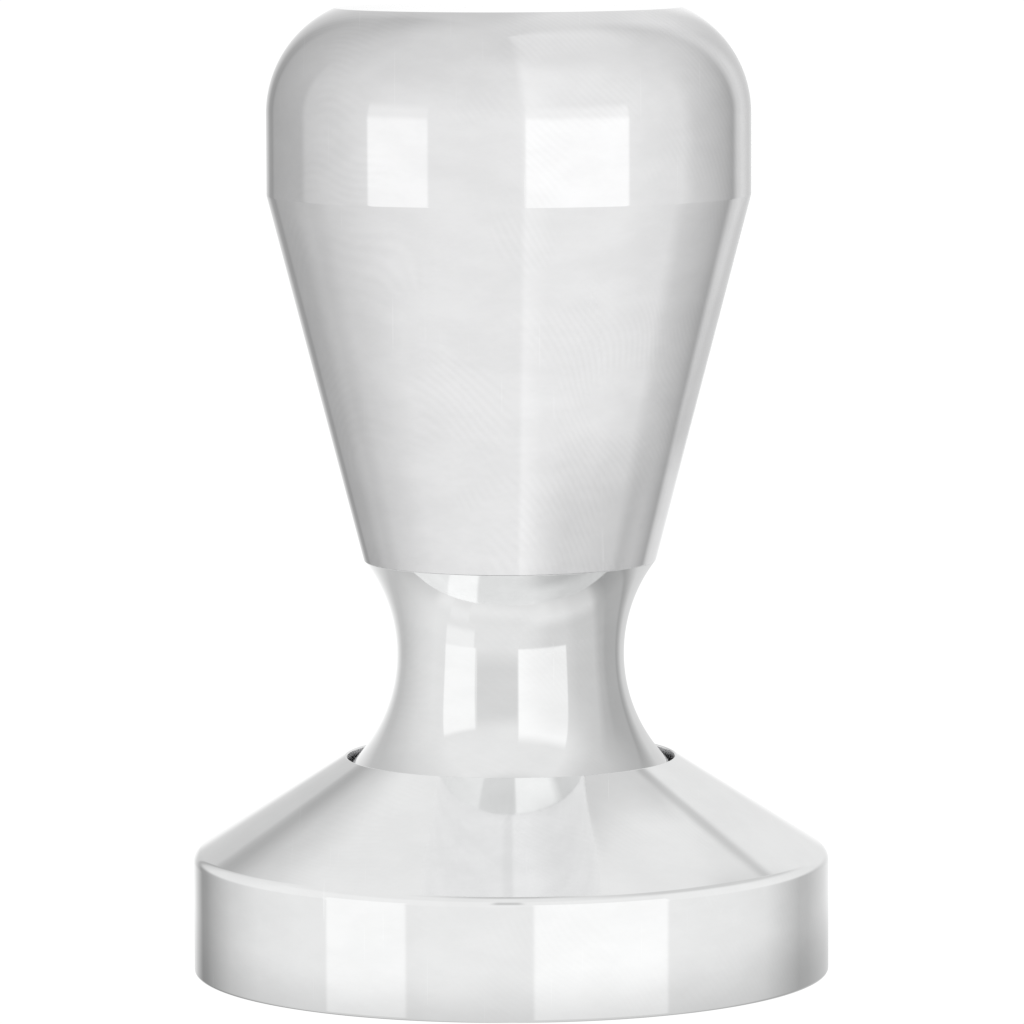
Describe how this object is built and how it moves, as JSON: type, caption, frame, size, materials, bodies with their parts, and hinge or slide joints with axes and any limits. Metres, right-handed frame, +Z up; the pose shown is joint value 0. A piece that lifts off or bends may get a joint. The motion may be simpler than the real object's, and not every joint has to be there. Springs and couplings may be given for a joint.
{
  "type": "espresso tamper",
  "caption": "Polished metal espresso tamper: a flat-faced round piston, a waisted neck and a flared round grip that turns freely and drops slightly on an internal spring.",
  "frame": {"origin": "centre of the flat tamping face on the underside", "axes": "+Z up the tamper's axis, from the tamping face to the palm face; X and Y are free, since the outside is a body of revolution"},
  "size_m": [0.058, 0.058, 0.0879],
  "materials": {
    "polished_steel": "polished",
    "polished_aluminium": "polished",
    "machined_steel": "satin",
    "spring_steel": "satin",
    "bronze": "satin",
    "black_rubber": "matte",
    "acetal": "matte"
  },
  "bodies": {
    "base": {"tamping_base": "polished_steel", "landing_ring": "machined_steel", "lock_washer": "spring_steel", "shoulder_screw": "machined_steel", "spring_washer": "machined_steel", "coil_spring": "spring_steel"},
    "spring_carriage": {"upper_spring_seat": "machined_steel"},
    "handle": {"neck": "polished_steel", "lower_guide_bush": "bronze", "spindle_o_ring": "black_rubber", "upper_guide_bush": "bronze", "rebound_washer": "acetal", "grip_o_ring": "black_rubber", "grip": "polished_aluminium", "thrust_disc": "acetal", "preload_shim_1": "machined_steel", "preload_shim_2": "machined_steel"}
  },
  "joints": [
    {"name": "handle_press", "type": "slide", "parent": "base", "child": "spring_carriage", "axis": [0, 0, -1], "range_m": [0, 0.002], "stiffness_N_per_m": 7600, "springref_m": -0.0176, "deforming": ["coil_spring"]},
    {"name": "handle_swivel", "type": "hinge", "parent": "spring_carriage", "child": "handle", "pos_m": [0, 0, 0], "axis": [0, 0, 1], "continuous": true}
  ]
}
